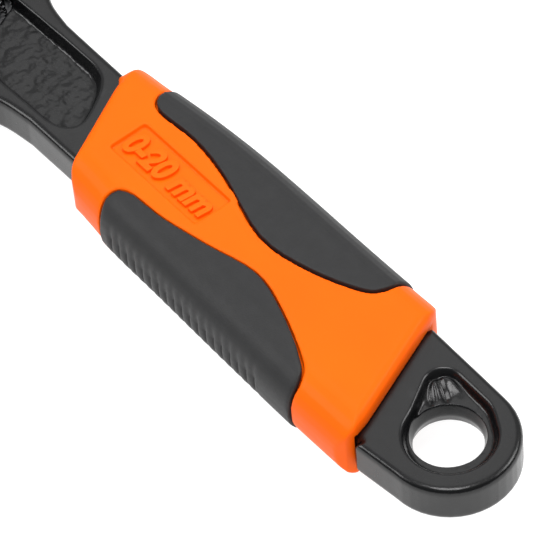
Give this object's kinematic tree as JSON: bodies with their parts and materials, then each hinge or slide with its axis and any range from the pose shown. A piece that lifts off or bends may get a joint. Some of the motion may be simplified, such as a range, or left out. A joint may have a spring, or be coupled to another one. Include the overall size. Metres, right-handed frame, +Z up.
{
  "type": "adjustable wrench",
  "caption": "Small adjustable wrench with a sliding toothed jaw, a knurled worm, and a two-material grip with a hang hole.",
  "frame": {"origin": "bottom centre of the part's box with the wrench lying flat and the jaw half open", "axes": "+X along the handle towards the head, +Z up through the thickness, +Y towards the side that the movable jaw slides to"},
  "size_m": [0.1548, 0.0492, 0.0121],
  "materials": {
    "black_steel": "semi-gloss black coating over forged steel",
    "worm_steel": "blackened, turned and knurled steel",
    "spring_steel": "bright spring wire",
    "orange_plastic": "satin moulded plastic",
    "soft_black": "matte soft-touch rubber"
  },
  "bodies": {
    "wrench": {"handle_body": "black_steel", "worm_pin": "worm_steel", "worm_spring": "spring_steel", "grip_sleeve": "orange_plastic", "grip_pad_smooth": "soft_black", "grip_pad_ribbed": "soft_black"},
    "jaw": {"movable_jaw": "black_steel"},
    "worm": {"worm_screw": "worm_steel"}
  },
  "joints": [
    {"name": "jaw_slide", "type": "slide", "parent": "wrench", "child": "jaw", "axis": [-0.3827, 0.9239, 0], "range_m": [-0.0099, 0.01]},
    {"name": "worm_turn", "type": "hinge", "parent": "wrench", "child": "worm", "pos_m": [0.03995, -0.00589, 0.00605], "axis": [-0.3827, 0.9239, 0], "range_deg": [-1445, 1445]}
  ],
  "couplings": [
    {"joint": "worm_turn", "follows": "jaw_slide", "rad_per_m": -2513.3}
  ]
}
